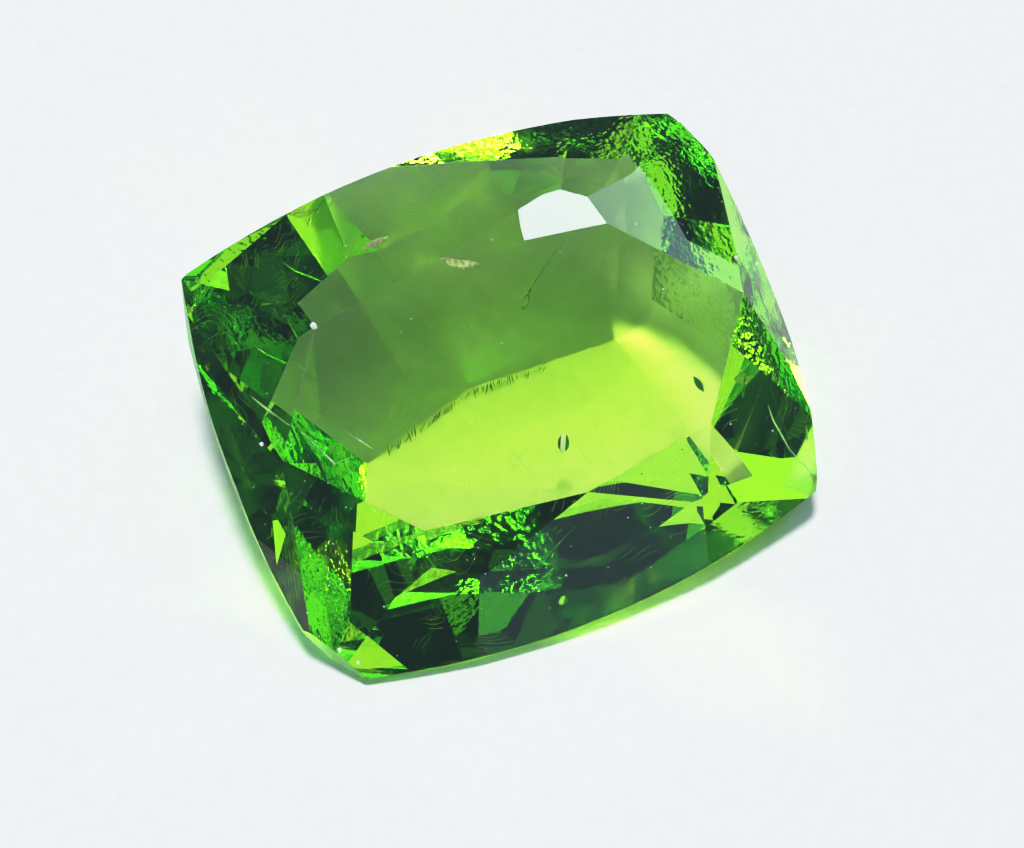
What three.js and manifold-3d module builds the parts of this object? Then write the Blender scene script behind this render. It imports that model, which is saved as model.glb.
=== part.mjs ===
import * as THREE from 'three';
import { mergeVertices } from 'three/addons/utils/BufferGeometryUtils.js';
import Module from 'manifold-3d';

// A loose cushion-cut stone, cut by hand, so hardly two of its facets lie at the same angle.
// Millimetres and degrees. It is cut with its table facing +Z, its right end to +X and its back
// to +Y, and azimuths turn from +X towards +Y. Level 0 is the top of the girdle.

// Girdle: the outline's four corners in turn, and how far the side after each one bows out
const girdleCorners = [
  [6.45, -4.95],
  [6.8, 5.05],
  [-6.5, 5],
  [-6.6, -5.1],
];
const sideBows = [0.7, 0.95, 0.6, 0.95];
const stepsPerSide = 20;
const girdleWall = 0.3;

// Crown: the table's height over the girdle, and its eight corners from the right end round.
// A kite starts at each corner, and a star facet lies along the table's edge after it.
const crownHeight = 1.31;
const tableCorners = [
  { x: 5.97, y: 0.04, kiteAzimuth: -2, kiteSlope: 43.5, starSlope: 15 },
  { x: 3.36, y: 2.73, kiteAzimuth: 51, kiteSlope: 18.5, starSlope: 13 },
  { x: -0.84, y: 3.22, kiteAzimuth: 92, kiteSlope: 22, starSlope: 18.5 },
  { x: -4.3, y: 2.62, kiteAzimuth: 133, kiteSlope: 22, starSlope: 17 },
  { x: -6.16, y: -0.04, kiteAzimuth: 180, kiteSlope: 47, starSlope: 16.5 },
  { x: -3.67, y: -2.68, kiteAzimuth: -129, kiteSlope: 19.5, starSlope: 16.5 },
  { x: 0.38, y: -3.16, kiteAzimuth: -90, kiteSlope: 22, starSlope: 17 },
  { x: 3.89, y: -2.66, kiteAzimuth: -65, kiteSlope: 21, starSlope: 22.5 },
];

// Facets round the crown's rim, two between neighbouring kites. Reach is the distance from the
// stone's axis at which a facet comes down to the girdle.
const rimFacets = [
  { azimuth: 0, slope: 47.5, reach: 7.25 },
  { azimuth: 44, slope: 20.2, reach: 8.05 },
  { azimuth: 68, slope: 25.5, reach: 6.85 },
  { azimuth: 86, slope: 29, reach: 6 },
  { azimuth: 94, slope: 28, reach: 5.95 },
  { azimuth: 105, slope: 29.5, reach: 6.25 },
  { azimuth: 142, slope: 25, reach: 7.9 },
  { azimuth: 172, slope: 50, reach: 7.25 },
  { azimuth: -173, slope: 49.5, reach: 7.3 },
  { azimuth: -137, slope: 22, reach: 7.95 },
  { azimuth: -106, slope: 27.5, reach: 6.45 },
  { azimuth: -94, slope: 28, reach: 6 },
  { azimuth: -86, slope: 29, reach: 6 },
  { azimuth: -74, slope: 30.5, reach: 6.4 },
  { azimuth: -38, slope: 23.6, reach: 7.75 },
  { azimuth: -6, slope: 49, reach: 7.35 },
];

// Pavilion: the long front facet, on which the stone lies, and the other mains, which meet it in
// a keel along the stone. Steeper outer facets run from the mains to the girdle.
const restingFacet = { azimuth: -97.5, slope: 23.4, reach: 6.34 };
const mainFacets = [
  { azimuth: -3, slope: 45, reach: 7.12 },
  { azimuth: 39.5, slope: 21.2, reach: 10.8 },
  { azimuth: 96.5, slope: 21.4, reach: 7.84 },
  { azimuth: 131, slope: 22.6, reach: 7.6 },
  { azimuth: 184, slope: 37.3, reach: 6.8 },
  { azimuth: -120.5, slope: 32, reach: 7.32 },
];
const outerFacets = [
  { azimuth: -82, slope: 46, reach: 5.81 },
  { azimuth: -25.5, slope: 33.3, reach: 7.66 },
  { azimuth: 12, slope: 49.3, reach: 7.36 },
  { azimuth: 82, slope: 42, reach: 6.57 },
];

// The front left corner is chipped off, almost straight down
const chip = { azimuth: -146, slope: 80, reach: 7.8 };

const blankDepth = 4; // rough stone left below the girdle before the pavilion is cut
const lapSize = 30; // the block that takes off everything outside a facet

const manifold = await Module();
manifold.setup();

function radians(degrees) {
  return THREE.MathUtils.degToRad(degrees);
}

function horizontal(azimuth) {
  return new THREE.Vector2(Math.cos(radians(azimuth)), Math.sin(radians(azimuth)));
}

function degreesOf(direction) {
  return THREE.MathUtils.radToDeg(direction.angle());
}

function toSolid(geometry) {
  geometry.deleteAttribute('normal');
  geometry.deleteAttribute('uv');
  const merged = mergeVertices(geometry);
  return new manifold.Manifold(new manifold.Mesh({
    numProp: 3,
    vertProperties: Float32Array.from(merged.attributes.position.array),
    triVerts: Uint32Array.from(merged.index.array),
  }));
}

function toGeometry(solid) {
  const mesh = solid.getMesh();
  const geometry = new THREE.BufferGeometry();
  geometry.setAttribute('position', new THREE.BufferAttribute(mesh.vertProperties, mesh.numProp));
  geometry.setIndex(new THREE.BufferAttribute(mesh.triVerts, 1));
  return geometry;
}

// One bowed side: an arc from corner to corner, without its end point
function sidePoints(start, end, bow) {
  const from = new THREE.Vector2(...start);
  const to = new THREE.Vector2(...end);
  const chord = to.clone().sub(from);
  const halfChord = chord.length() / 2;
  const radius = (halfChord ** 2 + bow ** 2) / (2 * bow);
  const outward = new THREE.Vector2(chord.y, -chord.x).normalize();
  const centre = from.clone().add(to).multiplyScalar(0.5).addScaledVector(outward, bow - radius);
  const halfAngle = Math.asin(halfChord / radius);
  const points = [];
  for (let i = 0; i < stepsPerSide; i++) {
    const angle = outward.angle() + halfAngle * (2 * i / stepsPerSide - 1);
    points.push(new THREE.Vector2(Math.cos(angle), Math.sin(angle)).multiplyScalar(radius).add(centre));
  }
  return points;
}

function cushionBlank() {
  const outline = girdleCorners.flatMap((corner, i) => {
    const next = girdleCorners[(i + 1) % girdleCorners.length];
    return sidePoints(corner, next, sideBows[i]);
  });
  const height = blankDepth + crownHeight;
  const geometry = new THREE.ExtrudeGeometry(new THREE.Shape(outline), { depth: height, bevelEnabled: false });
  geometry.translate(0, 0, -blankDepth);
  return toSolid(geometry);
}

// Takes off what lies outside a facet. The facet passes through the point at its reach and the
// level, and slopes away from the table, or away from the keel when it is under the girdle.
function cutFacet(stone, facet, level, isUnderGirdle) {
  const foot = horizontal(facet.azimuth).multiplyScalar(facet.reach);
  const tilt = isUnderGirdle ? Math.PI - radians(facet.slope) : radians(facet.slope);
  const block = new THREE.BoxGeometry(lapSize, lapSize, lapSize);
  block.translate(0, 0, lapSize / 2);
  block.rotateY(tilt);
  block.rotateZ(radians(facet.azimuth));
  block.translate(foot.x, foot.y, level);
  return stone.subtract(toSolid(block));
}

// The kite at a table corner, and the star facet along the edge to the next corner
function kiteAt(corner) {
  const reach = horizontal(corner.kiteAzimuth).dot(corner);
  return { azimuth: corner.kiteAzimuth, slope: corner.kiteSlope, reach };
}

function starAt(corner, nextCorner) {
  const outward = new THREE.Vector2(nextCorner.y - corner.y, corner.x - nextCorner.x).normalize();
  return { azimuth: degreesOf(outward), slope: corner.starSlope, reach: outward.dot(corner) };
}

function cutStone() {
  let stone = cushionBlank();
  tableCorners.forEach((corner, i) => {
    const nextCorner = tableCorners[(i + 1) % tableCorners.length];
    stone = cutFacet(stone, kiteAt(corner), crownHeight, false);
    stone = cutFacet(stone, starAt(corner, nextCorner), crownHeight, false);
  });
  for (const facet of rimFacets) {
    stone = cutFacet(stone, facet, 0, false);
  }
  for (const facet of [restingFacet, ...mainFacets, ...outerFacets]) {
    stone = cutFacet(stone, facet, -girdleWall, true);
  }
  return cutFacet(stone, chip, 0, false);
}

// Lays the stone on its resting facet, front side to -Y, with the origin under its middle
function layDown(geometry) {
  geometry.rotateZ(radians(-90 - restingFacet.azimuth));
  geometry.rotateX(radians(restingFacet.slope));
  geometry.computeBoundingBox();
  const { min, max } = geometry.boundingBox;
  geometry.translate(-(min.x + max.x) / 2, -(min.y + max.y) / 2, -min.z);
  return geometry;
}

// Clear green with a polish that keeps every facet flat and sharp
const stoneGreen = new THREE.MeshStandardMaterial({
  color: 0x5fae2c,
  roughness: 0.03,
  metalness: 0,
  transparent: true,
  opacity: 0.6,
  flatShading: true,
});

const stoneMesh = new THREE.Mesh(layDown(toGeometry(cutStone())), stoneGreen);
stoneMesh.name = 'cut_stone';

const part = new THREE.Group();
part.add(stoneMesh);

export default part;
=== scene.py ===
import math
import random

import bpy
from mathutils import Matrix, Vector


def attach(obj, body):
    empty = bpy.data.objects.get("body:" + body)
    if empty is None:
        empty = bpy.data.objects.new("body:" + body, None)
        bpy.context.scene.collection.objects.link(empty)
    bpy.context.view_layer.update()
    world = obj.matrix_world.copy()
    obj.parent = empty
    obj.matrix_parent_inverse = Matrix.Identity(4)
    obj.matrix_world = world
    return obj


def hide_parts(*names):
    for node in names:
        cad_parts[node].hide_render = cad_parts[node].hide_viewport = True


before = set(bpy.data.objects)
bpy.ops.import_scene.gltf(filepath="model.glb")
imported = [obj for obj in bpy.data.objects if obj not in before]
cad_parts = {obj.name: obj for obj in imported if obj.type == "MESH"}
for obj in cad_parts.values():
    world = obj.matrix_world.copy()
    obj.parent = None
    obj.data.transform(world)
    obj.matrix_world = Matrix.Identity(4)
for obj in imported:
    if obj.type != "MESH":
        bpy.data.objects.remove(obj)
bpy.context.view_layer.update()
print("frame loaded")

mm = 0.001

# the photograph's view: the camera looks down the stone's left front side
cameraSet = {
    "place": Vector((-19.555, -34.414, 55.591)) * mm,
    "aim": Vector((-0.134, -0.808, 2.145)) * mm,
    "roll": 13.04,  # degrees, clockwise in the picture
    "lens": 96.9,  # on a 36 mm wide sensor
}


def makeCamera(values):
    data = bpy.data.cameras.new("photo_camera")
    data.lens = values["lens"]
    data.sensor_width = 36
    data.clip_start = 1 * mm
    data.clip_end = 10
    camera = bpy.data.objects.new("photo_camera", data)
    bpy.context.scene.collection.objects.link(camera)
    look = (values["aim"] - values["place"]).to_track_quat("-Z", "Y")
    turn = Matrix.Rotation(math.radians(values["roll"]), 3, "Z")
    camera.matrix_world = Matrix.Translation(values["place"]) @ (look.to_matrix() @ turn).to_4x4()
    bpy.context.scene.camera = camera


makeCamera(cameraSet)
print("camera set")


# how the stone was laid down from the pose it is cut in, where the table faces straight up, the
# length lies along X and the top of the girdle is at height 0: turned, tipped, then moved
stance = {
    "turn": 7.5,
    "tilt": 23.4,
    "shift": Vector((-0.049, -0.127, 2.793)) * mm,
}
laidDown = (
    Matrix.Translation(stance["shift"])
    @ Matrix.Rotation(math.radians(stance["tilt"]), 4, "X")
    @ Matrix.Rotation(math.radians(stance["turn"]), 4, "Z")
)


# shader maths: a Wire is one output socket, and sums of Wires add Math nodes
class Wire:
    def __init__(self, tree, socket):
        self.tree = tree
        self.socket = socket

    def calc(self, operation, *others):
        node = self.tree.nodes.new("ShaderNodeMath")
        node.operation = operation
        for slot, value in zip(node.inputs, (self, *others)):
            plug(self.tree, slot, value)
        return Wire(self.tree, node.outputs[0])

    def flipped(self, operation, other):
        node = self.tree.nodes.new("ShaderNodeMath")
        node.operation = operation
        plug(self.tree, node.inputs[0], other)
        plug(self.tree, node.inputs[1], self)
        return Wire(self.tree, node.outputs[0])

    def __add__(self, other):
        return self.calc("ADD", other)

    def __radd__(self, other):
        return self.flipped("ADD", other)

    def __sub__(self, other):
        return self.calc("SUBTRACT", other)

    def __rsub__(self, other):
        return self.flipped("SUBTRACT", other)

    def __mul__(self, other):
        return self.calc("MULTIPLY", other)

    def __rmul__(self, other):
        return self.flipped("MULTIPLY", other)

    def above(self, limit):
        return self.calc("GREATER_THAN", limit)

    def below(self, limit):
        return self.calc("LESS_THAN", limit)


def plug(tree, slot, value):
    if isinstance(value, Wire):
        tree.links.new(value.socket, slot)
    else:
        slot.default_value = value


class Finish:
    def __init__(self, name):
        self.material = bpy.data.materials.new(name)
        self.material.use_nodes = True
        self.tree = self.material.node_tree
        self.tree.nodes.clear()
        self.output = self.tree.nodes.new("ShaderNodeOutputMaterial")

    # one node: its type, its settings first, then its sockets by name
    def add(self, kind, settings=None, values=None, out=0):
        node = self.tree.nodes.new("ShaderNode" + kind)
        for key, value in (settings or {}).items():
            setattr(node, key, value)
        for key, value in (values or {}).items():
            plug(self.tree, node.inputs[key], value)
        return Wire(self.tree, node.outputs[out])

    def show(self, surface, volume=None):
        self.tree.links.new(surface.socket, self.output.inputs["Surface"])
        if volume:
            self.tree.links.new(volume.socket, self.output.inputs["Volume"])
        return self.material


# two colours, blended by a Wire
def blend(finish, share, first, second):
    return finish.add("Mix", {"data_type": "RGBA"}, {0: share, 6: first, 7: second}, out=2)


def putOn(thing, material):
    thing.data.materials.clear()
    thing.data.materials.append(material)


def onlySelect(thing):
    bpy.ops.object.select_all(action="DESELECT")
    thing.select_set(True)
    bpy.context.view_layer.objects.active = thing


# selects the points of a mesh that meet a condition, and nothing else
def pickPoints(thing, wanted):
    for kind in (thing.data.vertices, thing.data.edges, thing.data.polygons):
        kind.foreach_set("select", [False] * len(kind))
    for point in thing.data.vertices:
        point.select = wanted(point.co)


def joined(name, things):
    bpy.ops.object.select_all(action="DESELECT")
    for thing in things:
        thing.select_set(True)
    bpy.context.view_layer.objects.active = things[0]
    if len(things) > 1:
        bpy.ops.object.join()
    things[0].name = name
    return things[0]


def copied(thing, matrix):
    copy = thing.copy()
    copy.data = thing.data.copy()
    copy.data.transform(matrix)
    bpy.context.scene.collection.objects.link(copy)
    return copy


# brings a piece modelled in the cutting pose to where the stone lies
def settle(thing, material):
    thing.data.transform(laidDown)
    putOn(thing, material)
    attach(thing, "root")
    return thing


stoneSet = {
    "edgeWidth": 0.02 * mm,  # how far the polishing rounds each facet edge
    "flatAngle": 0.3,  # degrees, less than the turn between any two facets
    "edgeTurn": 1,  # degrees, every edge that turns more than this is rounded
    "wallSlope": 0.3,  # faces that lean less than this from upright are the ground girdle
    "index": 1.748,
    "absorbColour": (0.79, 0.985, 0.06, 1),
    "absorbDensity": 330,  # per metre of stone
    "swirlScale": 300,  # polishing hairs: their curls, their number and thickness, and where they are
    "swirlBend": 1.4,
    "swirlCount": 26,
    "hairWidth": 0.035,
    "patchScale": 390,
    "hairPatches": 0.58,
    "hairHeight": 0.0004,  # mm
    "hairRoughness": 0.06,
    "waveScale": 5200,  # poorly polished outer facets under the girdle, and how steep they are
    "waveHeight": 0.0045,  # mm
    "waveSlopes": (0.5, 0.79),
    "grainScale": 5200,  # the ground girdle's grain, 0.2 mm across
    "grainHeight": 0.03,  # mm
    "groundRoughness": 0.3,
    "wornRoughness": 0.22,
}


def makeStoneFinish(values):
    finish = Finish("clear green alexandrite")
    place = finish.add("TexCoord", out="Object")
    worn = finish.add("Attribute", {"attribute_name": "worn"}, out="Fac")
    ground = finish.add("Attribute", {"attribute_name": "ground"}, out="Fac")
    wavy = finish.add("Attribute", {"attribute_name": "wavy"}, out="Fac")
    drift = finish.add("TexNoise", values={
        "Vector": place,
        "Scale": values["swirlScale"],
        "Detail": 1,
        "Distortion": values["swirlBend"],
    })
    patches = finish.add("TexNoise", values={"Vector": place, "Scale": values["patchScale"]})
    hairs = (drift * values["swirlCount"]).calc("FRACT").below(values["hairWidth"])
    hairs = hairs * patches.above(values["hairPatches"])
    grain = finish.add("TexNoise", values={"Vector": place, "Scale": values["grainScale"], "Detail": 2})
    waves = finish.add("TexNoise", values={"Vector": place, "Scale": values["waveScale"], "Detail": 1})
    relief = (grain * ground * values["grainHeight"] + waves * wavy * values["waveHeight"]
              - hairs * (1 - ground) * values["hairHeight"])
    glass = finish.add("BsdfPrincipled", values={
        "Base Color": (1, 1, 1, 1),
        "Roughness": hairs * values["hairRoughness"] + ground * values["groundRoughness"]
        + worn * values["wornRoughness"],
        "IOR": values["index"],
        "Transmission Weight": 1,
        "Normal": finish.add("Bump", values={"Height": relief, "Distance": mm}),
    })
    body = finish.add("VolumeAbsorption", values={
        "Color": values["absorbColour"],
        "Density": values["absorbDensity"],
    })
    return finish.show(glass, body)


# marks faces with a number from the material slot that they were given
def markFaces(thing, name, slot):
    mark = thing.data.attributes.new(name, "FLOAT", "FACE")
    mark.data.foreach_set("value", [float(face.material_index == slot) for face in thing.data.polygons])


def makeStone(values):
    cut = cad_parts["cut_stone"]
    stone = bpy.data.objects.new("polished_stone", cut.data.copy())
    bpy.context.scene.collection.objects.link(stone)
    onlySelect(stone)
    bpy.ops.object.mode_set(mode="EDIT")
    bpy.ops.mesh.select_all(action="SELECT")
    bpy.ops.mesh.remove_doubles(threshold=0.001 * mm)
    bpy.ops.mesh.dissolve_limited(angle_limit=math.radians(values["flatAngle"]))
    bpy.ops.object.mode_set(mode="OBJECT")
    stone.data.materials.clear()
    uses = ("polished", "worn", "ground", "wavy")
    for use in uses:
        stone.data.materials.append(bpy.data.materials.new(use))
    tableUp = laidDown.to_3x3() @ Vector((0, 0, 1))
    shallow, steep = values["waveSlopes"]
    for face in stone.data.polygons:
        rise = face.normal.dot(tableUp)
        use = "polished"
        if abs(rise) < values["wallSlope"]:
            use = "ground"
        elif shallow < -rise < steep:
            use = "wavy"
        face.material_index = uses.index(use)
    rounding = stone.modifiers.new("rounded edges", "BEVEL")
    rounding.width = values["edgeWidth"]
    rounding.segments = 2
    rounding.limit_method = "ANGLE"
    rounding.angle_limit = math.radians(values["edgeTurn"])
    rounding.material = uses.index("worn")
    bpy.ops.object.modifier_apply(modifier=rounding.name)
    bpy.ops.object.shade_flat()
    for use in uses[1:]:
        markFaces(stone, use, uses.index(use))
    for face in stone.data.polygons:
        face.material_index = 0
    putOn(stone, makeStoneFinish(values))
    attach(stone, "root")
    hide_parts("cut_stone")
    return stone


stone = makeStone(stoneSet)
print("stone cut and polished", len(stone.data.polygons))


# a mineral in or on the stone: two tones in a fine grain, with the grain also raised
def makeMineralFinish(name, values):
    finish = Finish(name)
    place = finish.add("TexCoord", out="Object")
    streaks = finish.add("TexNoise", values={"Vector": place, "Scale": values["grain"], "Detail": 3})
    tone = (streaks - 0.5) * values["contrast"] + 0.5
    surface = finish.add("BsdfPrincipled", values={
        "Base Color": blend(finish, tone, values["dark"], values["light"]),
        "Roughness": 0.35 + streaks * 0.3,
        "Normal": finish.add("Bump", values={"Height": streaks * 0.004, "Distance": mm}),
    })
    return finish.show(surface)


# a thin plate along X with two pointed ends, its upper face a little smaller
def makePlate(length, width, thickness, point):
    bpy.ops.object.select_all(action="DESELECT")
    bpy.ops.mesh.primitive_circle_add(vertices=12, radius=0.5, fill_type="NGON")
    plate = bpy.context.active_object
    bpy.ops.object.mode_set(mode="EDIT")
    bpy.ops.mesh.select_all(action="SELECT")
    bpy.ops.transform.resize(value=(length, width, 1))
    bpy.ops.mesh.extrude_region_move(TRANSFORM_OT_translate={"value": (0, 0, thickness)})
    bpy.ops.transform.resize(value=(0.75, 0.75, 1), center_override=(0, 0, thickness))
    bpy.ops.mesh.select_all(action="SELECT")
    bpy.ops.mesh.normals_make_consistent(inside=False)
    bpy.ops.object.mode_set(mode="OBJECT")
    for side in (-1, 1):
        pickPoints(plate, lambda place: place.x * side > 0.49 * length)
        bpy.ops.object.mode_set(mode="EDIT")
        bpy.ops.transform.translate(value=(side * point, 0, 0))
        bpy.ops.object.mode_set(mode="OBJECT")
    return plate


# a thin tapering rod through several points
def makeRod(points, radii, sides=6):
    heading = (points[1] - points[0]).to_track_quat("Z", "Y").to_euler()
    bpy.ops.object.select_all(action="DESELECT")
    bpy.ops.mesh.primitive_circle_add(
        vertices=sides, radius=radii[0], fill_type="NGON", location=points[0], rotation=heading)
    rod = bpy.context.active_object
    bpy.ops.object.mode_set(mode="EDIT")
    bpy.ops.mesh.select_all(action="SELECT")
    for i in range(1, len(points)):
        step = points[i] - points[i - 1]
        growth = radii[i] / radii[i - 1]
        bpy.ops.mesh.extrude_region_move(TRANSFORM_OT_translate={"value": step})
        bpy.ops.transform.resize(value=(growth, growth, growth), center_override=points[i])
    bpy.ops.mesh.select_all(action="SELECT")
    bpy.ops.mesh.normals_make_consistent(inside=False)
    bpy.ops.object.mode_set(mode="OBJECT")
    bpy.ops.object.transform_apply(location=True, rotation=True, scale=True)
    return rod


# where a small thing sits in the cutting pose: turned about Z, tipped about Y, then moved
def spot(x, y, z, turn=0, tip=0):
    return (
        Matrix.Translation(Vector((x, y, z)) * mm)
        @ Matrix.Rotation(math.radians(turn), 4, "Z")
        @ Matrix.Rotation(math.radians(tip), 4, "Y")
    )


needleSet = {
    "rod": [(2.31, 2.72, 0.82), (1.72, 2.35, 0.72), (1.24, 2.01, 0.63), (0.98, 1.8, 0.62)],
    "radii": [0.006, 0.012, 0.02, 0.03],
    "eye": (0.83, 1.63, 0.62),
    "eyeLength": 0.36,
    "eyeWidth": 0.14,
    "eyeThickness": 0.14,
    "eyeTurn": 47,
    "dark": (0.012, 0.09, 0.012, 1),
    "light": (0.2, 0.42, 0.06, 1),
    "grain": 9000,
    "contrast": 2,
}


def makeNeedle(values):
    points = [Vector(point) * mm for point in values["rod"]]
    rod = makeRod(points, [radius * mm for radius in values["radii"]])
    bpy.ops.object.select_all(action="DESELECT")
    bpy.ops.mesh.primitive_torus_add(
        major_radius=0.5, minor_radius=0.09, major_segments=24, minor_segments=6)
    eye = bpy.context.active_object
    sizes = [values[key] * mm for key in ("eyeLength", "eyeWidth", "eyeThickness")]
    eye.data.transform(Matrix.Diagonal((*sizes, 1)))
    eye.data.transform(spot(*values["eye"], values["eyeTurn"]))
    needle = joined("eye_needle", [rod, eye])
    return settle(needle, makeMineralFinish("needle skin", values))


makeNeedle(needleSet)
print("needle grown")


bubbleSet = {
    "place": (0.36, -1.86, 0.82),
    "size": (0.42, 0.28, 0.1),
    "point": 0.03,  # mm, how far one end is drawn out
    "turn": 62,
    "bands": 26000,  # painted bright and dark crescents across it, standing in for the bubble's reflections and shade, radians per metre
    "start": 1.1,
    "dark": (0.02, 0.13, 0.012, 1),
    "light": (1, 1, 0.8, 1),
}


def makeBubble(values):
    bpy.ops.object.select_all(action="DESELECT")
    bpy.ops.mesh.primitive_uv_sphere_add(segments=24, ring_count=12, radius=0.5)
    bubble = bpy.context.active_object
    bubble.name = "bubble"
    length, width, height = values["size"]
    bubble.data.transform(Matrix.Diagonal((length * mm, width * mm, height * mm, 1)))
    pickPoints(bubble, lambda place: place.x > 0.4 * length * mm)
    bpy.ops.object.mode_set(mode="EDIT")
    bpy.ops.transform.translate(value=(values["point"] * mm, 0, 0))
    bpy.ops.object.mode_set(mode="OBJECT")
    bubble.data.transform(spot(*values["place"], values["turn"]))
    onlySelect(bubble)
    bpy.ops.object.shade_smooth()

    across = math.radians(values["turn"] + 90)
    across = laidDown.to_3x3() @ Vector((math.cos(across), math.sin(across), 0))
    start = values["start"] - across.dot(laidDown @ (Vector(values["place"]) * mm)) * values["bands"]
    # the bubble's colour is painted in bright and dark bands, in place of the light and shade a bubble
    # shows
    finish = Finish("bubble with painted shine and shade")
    place = finish.add("TexCoord", out="Object")
    distance = finish.add("VectorMath", {"operation": "DOT_PRODUCT"}, {0: place, 1: across}, out="Value")
    paintedShineBands = (distance * values["bands"] + start).calc("SINE").above(0)
    surface = finish.add("BsdfPrincipled", values={
        "Base Color": blend(finish, paintedShineBands, values["dark"], values["light"]),
        "Roughness": 0.2 + paintedShineBands * 0.2,
    })
    return settle(bubble, finish.show(surface))


makeBubble(bubbleSet)
print("bubble set")


# plates of another mineral: length, width, thickness and tips in mm, and where they sit
flakeSets = {
    "dark_leaf": {
        "plate": (0.36, 0.17, 0.03, 0.06),
        "spots": [(4.07, -1.64, 0.92, -78, 0)],
        "dark": (0.004, 0.07, 0.008, 1),
        "light": (0.015, 0.16, 0.02, 1),
        "grain": 6000,
        "contrast": 2,
    },
    "pale_leaf": {
        "plate": (0.3, 0.05, 0.02, 0.04),
        "spots": [(4.17, -1.6, 0.9, -78, 0)],
        "dark": (0.4, 0.62, 0.05, 1),
        "light": (0.85, 1, 0.3, 1),
        "grain": 6000,
        "contrast": 2,
    },
    "beige_flakes": {
        "plate": (0.6, 0.2, 0.03, 0.08),
        "spots": [(-0.55, 3.0, 1.2, -37, 0), (-0.3, 2.9, 1.18, -20, 0), (-2.05, 4.12, 0.81, 8, 0)],
        "dark": (0.62, 0.36, 0.14, 1),
        "light": (1, 0.93, 0.82, 1),
        "grain": 9000,
        "contrast": 5,
    },
}


def makeFlakes(name, values):
    plate = makePlate(*[size * mm for size in values["plate"]])
    flakes = joined(name, [copied(plate, spot(*place)) for place in values["spots"]])
    bpy.data.objects.remove(plate)
    return settle(flakes, makeMineralFinish(name.replace("_", " "), values))


for name, values in flakeSets.items():
    makeFlakes(name, values)
print("flakes laid in")


# fine marks close to the stone's underside, scattered along and across a line of points
scratchSets = {
    "keel_nicks": {
        "line": [(-3.2, -0.42, -2.58), (-0.6, 0.27, -3.01), (1.4, 0.24, -3.11)],
        "spread": (0, 0.03, -0.013),
        "count": 28,  # between two points
        "sizes": (0.45, 1.1),  # of a mark, as a share of the plate
        "plate": (0.26, 0.035, 0.02, 0.05),
        "turn": 62,
        "fan": 24,
        "tip": 23,
        "seed": 5,
        "dark": (0.01, 0.11, 0.01, 1),
        "light": (0.3, 0.55, 0.05, 1),
        "grain": 4000,
        "contrast": 5,
    },
    "facet_scratches": {
        "line": [(-2, -1.2, -2.37), (2.2, -1.2, -2.61)],
        "spread": (0, 1.1, -0.472),
        "count": 44,
        "sizes": (0.45, 1.1),
        "plate": (0.5, 0.01, 0.006, 0.05),
        "turn": 75,
        "fan": 50,
        "tip": 20,
        "seed": 8,
        "dark": (0.35, 0.55, 0.04, 1),
        "light": (1, 1, 0.6, 1),
        "grain": 3000,
        "contrast": 4,
    },
}


def makeScratches(name, values):
    chance = random.Random(values["seed"])
    plate = makePlate(*[size * mm for size in values["plate"]])
    line = [Vector(point) for point in values["line"]]
    scratches = []
    for start, end in zip(line, line[1:]):
        for i in range(values["count"]):
            place = start.lerp(end, (i + chance.uniform(0.1, 0.9)) / values["count"])
            place += Vector(values["spread"]) * chance.uniform(-1, 1)
            turn = values["turn"] + chance.uniform(-1, 1) * values["fan"]
            size = chance.uniform(*values["sizes"])
            scratches.append(copied(plate, spot(*place, turn, values["tip"]) @ Matrix.Scale(size, 4)))
    bpy.data.objects.remove(plate)
    return settle(joined(name, scratches), makeMineralFinish(name.replace("_", " "), values))


for name, values in scratchSets.items():
    makeScratches(name, values)
print("keel nicked and facet scratched")


# pale lines along the crown's left edges, and a white streak painted on a girdle facet as its glint, each
# from point to point
paleLineAndGlintSet = {
    "lines": [
        [(-6.2, 1.62, 0.92), (-6.0, 1.2, 1.05), (-5.7, 0.64, 1.28)],
        [(-5.5, 0.42, 1.29), (-5.05, -0.53, 1.29), (-4.56, -0.5, 1.29)],
        [(-4.53, 0.13, 1.29), (-4.3, -0.2, 1.29), (-4.08, -0.5, 1.29)],
        # painted glint: this white streak stands where a girdle facet catches the light
        [(5.7, -2.65, 0.66), (5.72, -3.03, 0.55), (5.96, -3.83, 0.25), (6.41, -4.55, -0.09)],
    ],
    "radius": 0.026,
    "endRadius": 0.0104,
    "dark": (0.4, 0.5, 0.36, 1),
    "light": (0.95, 1, 0.9, 1),
    "grain": 9000,
    "contrast": 2,
}


def makePaleLinesAndGlint(values):
    rods = []
    for line in values["lines"]:
        points = [Vector(point) * mm for point in line]
        radii = [values["endRadius"], *[values["radius"]] * (len(line) - 2), values["endRadius"]]
        rods.append(makeRod(points, [radius * mm for radius in radii]))
    return settle(joined("pale_lines_and_painted_glint", rods), makeMineralFinish("pale lines and painted glint", values))


makePaleLinesAndGlint(paleLineAndGlintSet)


# dust, crumbs and two painted glints on the crown: sizes and places in mm, the rest scattered at random
dustAndGlintSet = {
    "named": [
        # the grains at (6.24, 0.94) and (7.05, 0.76) are painted glints, white specks where the crown
        # catches the light
        (-4.31, 2.66, 0.11), (6.24, 0.94, 0.07), (7.05, 0.76, 0.06), (-6.4, 0.51, 0.07),
        (4.09, 2.5, 0.04), (4.06, 0.78, 0.03), (4.8, 0.72, 0.03), (-6.25, -4.48, 0.07), (-5.93, -4.9, 0.06),
    ],
    "count": 130,
    "spread": (7, 5.6),  # mm either side of the middle
    "smallest": 0.012,
    "largest": 0.032,
    "seed": 11,
    "dark": (0.5, 0.56, 0.46, 1),
    "light": (1, 1, 0.96, 1),
    "grain": 12000,
    "contrast": 2,
}


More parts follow.
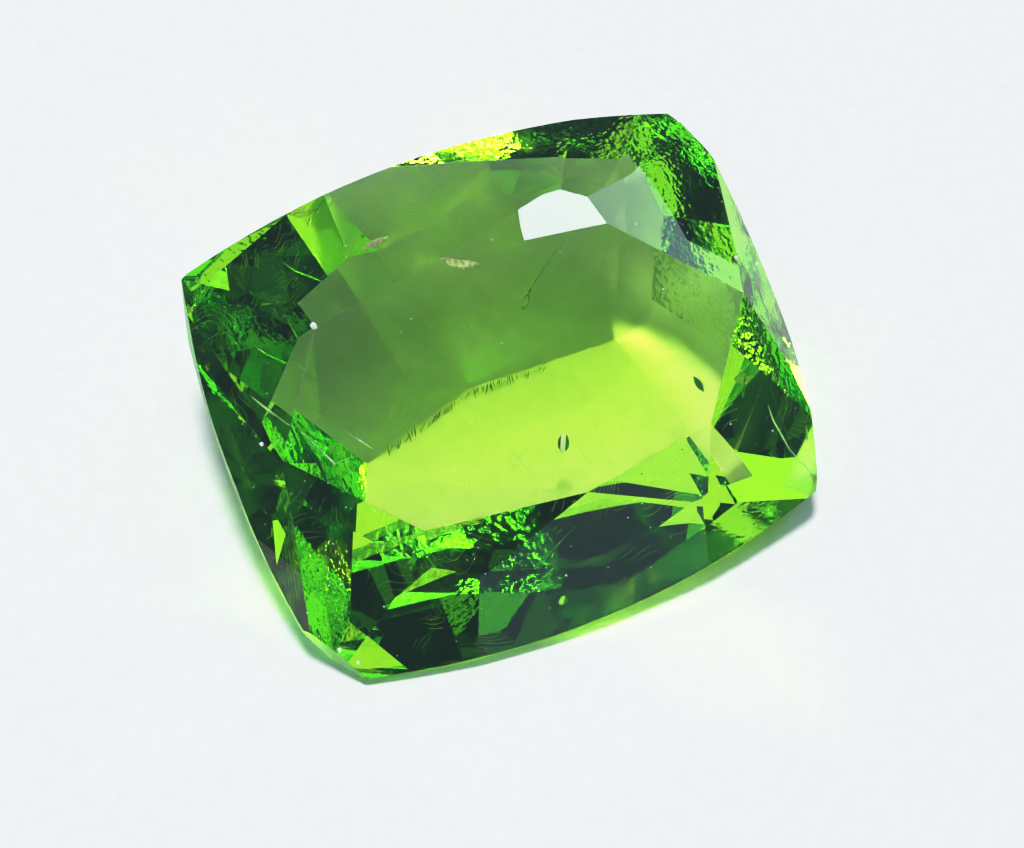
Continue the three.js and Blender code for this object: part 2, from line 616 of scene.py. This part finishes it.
def makeDustAndGlints(values):
    chance = random.Random(values["seed"])
    bpy.ops.object.select_all(action="DESELECT")
    bpy.ops.mesh.primitive_ico_sphere_add(subdivisions=1, radius=1)
    grain = bpy.context.active_object
    bpy.ops.object.mode_set(mode="EDIT")
    bpy.ops.mesh.select_all(action="SELECT")
    bpy.ops.transform.vertex_random(offset=0.3, seed=values["seed"])
    bpy.ops.transform.resize(value=(1, 0.8, 0.5))
    bpy.ops.object.mode_set(mode="OBJECT")
    wanted = list(values["named"])
    wide, deep = values["spread"]
    for i in range(values["count"]):
        size = values["smallest"] + (values["largest"] - values["smallest"]) * chance.random() ** 3
        wanted.append((chance.uniform(-wide, wide), chance.uniform(-deep, deep), size))
    down = laidDown.to_3x3() @ Vector((0, 0, -1))
    grains = []
    for x, y, size in wanted:
        above = laidDown @ (Vector((x, y, 3)) * mm)
        found, place, normal, face = stone.ray_cast(above, down)
        if found:
            place = laidDown.inverted() @ place
            turn = Matrix.Rotation(chance.uniform(0, math.tau), 4, "Z")
            grains.append(copied(grain, Matrix.Translation(place) @ turn @ Matrix.Scale(size * mm, 4)))
    bpy.data.objects.remove(grain)
    # one white finish colours the dust and the painted glints alike
    return settle(joined("surface_dust_and_glints", grains), makeMineralFinish("dust", values))


makeDustAndGlints(dustAndGlintSet)
# the pale lines include a painted glint, and two of the grains are painted glints
print("edges worn and dusted")


floorSet = {
    "size": 0.6,
    "drop": 0.01 * mm,  # keeps the paper just clear of the resting facet
    "light": (0.98, 0.985, 0.99, 1),
    "dark": (0.78, 0.79, 0.8, 1),
    "pulp": 2200,
    "pulpHeight": 0.02,  # mm
}


def makeFloor(values):
    bpy.ops.object.select_all(action="DESELECT")
    bpy.ops.mesh.primitive_plane_add(size=values["size"], location=(0, 0, -values["drop"]))
    floor = bpy.context.active_object
    floor.name = "paper_floor"
    finish = Finish("white paper")
    place = finish.add("TexCoord", out="Object")
    pulp = finish.add("TexNoise", values={"Vector": place, "Scale": values["pulp"], "Detail": 5})
    paper = finish.add("BsdfPrincipled", values={
        "Base Color": blend(finish, pulp, values["dark"], values["light"]),
        "Roughness": 0.9,
        "Normal": finish.add("Bump", values={"Height": pulp * values["pulpHeight"], "Distance": mm}),
    })
    putOn(floor, finish.show(paper))
    return floor


makeFloor(floorSet)
print("paper laid")


dayWhite = (0.75, 0.97, 1.1)
lightSet = {
    "room": (0.2, 0.38, 0.32, 1),  # seen only where the stone mirrors it
    "distance": 600 * mm,
    # azimuth from +X towards +Y, height and half the width seen from the stone, all in degrees,
    # then radiance and colour
    "lamps": {
        "ceiling_lamp": (144, 80, 5.6, 86, (1.04, 1, 0.98)),
        "side_lamp": (36.3, 64.7, 2.5, 9.5, (0.93, 0.97, 1)),
        "far_lamp": (324, 80, 5.6, 4, dayWhite),
        "window": (30, 52, 12, 1.6, dayWhite),
        "left_wall": (210, 52, 12, 1.7, dayWhite),
        "back_wall": (130, 35, 18, 0.85, dayWhite),
        "near_wall": (240, 24, 14, 0.8, dayWhite),
        "front_wall": (300, 22, 15, 0.3, dayWhite),
    },
}


def makeLamp(name, distance, azimuth, height, halfWidth, radiance, colour):
    out = Matrix.Rotation(math.radians(azimuth), 3, "Z") @ Matrix.Rotation(math.radians(-height), 3, "Y")
    out = out @ Vector((1, 0, 0))
    radius = distance * math.tan(math.radians(halfWidth))
    data = bpy.data.lights.new(name, "AREA")
    data.shape = "DISK"
    data.size = 2 * radius
    data.energy = radiance * math.pi ** 2 * radius ** 2
    data.color = colour
    lamp = bpy.data.objects.new(name, data)
    lamp.location = out * distance
    lamp.rotation_euler = (-out).to_track_quat("-Z", "Y").to_euler()
    bpy.context.scene.collection.objects.link(lamp)


def makeLights(values):
    world = bpy.data.worlds.new("room")
    bpy.context.scene.world = world
    world.use_nodes = True
    background = world.node_tree.nodes["Background"]
    background.inputs["Color"].default_value = values["room"]
    background.inputs["Strength"].default_value = 1
    world.cycles_visibility.diffuse = False
    world.cycles_visibility.transmission = False
    for name, lamp in values["lamps"].items():
        makeLamp(name, values["distance"], *lamp)


makeLights(lightSet)


# the picture: bright paper is eased into white, a little cool, as a camera does
pictureSet = {
    "brightest": 2.4,  # light that becomes the curve's right end
    "curve": [
        (0, 0), (0.025, 0.05), (0.083, 0.2), (0.16, 0.4), (0.23, 0.6),
        (0.3, 0.75), (0.36, 0.85), (0.46, 0.925), (0.6, 0.96), (1, 0.98),
    ],
    "tint": (1, 1.045, 1.1),  # what red, green and blue white become
    "bounces": 14,
}


def setPicture(values):
    scene = bpy.context.scene
    view = scene.view_settings
    view.view_transform = "Standard"
    view.use_curve_mapping = True
    mapping = view.curve_mapping
    mapping.white_level = [values["brightest"]] * 3
    mapping.extend = "HORIZONTAL"
    mapping.use_clip = False
    combined = mapping.curves[3]
    combined.points[-1].location = values["curve"][-1]
    for point in values["curve"][1:-1]:
        combined.points.new(*point)
    for channel, white in enumerate(values["tint"]):
        mapping.curves[channel].points[-1].location = (1, white)
    mapping.update()
    scene.cycles.max_bounces = values["bounces"]
    scene.cycles.transmission_bounces = values["bounces"]
    scene.cycles.glossy_bounces = values["bounces"]
    scene.cycles.blur_glossy = 0  # these two keep the light that the stone throws on the paper
    scene.cycles.sample_clamp_indirect = 0


setPicture(pictureSet)
print("lights set")
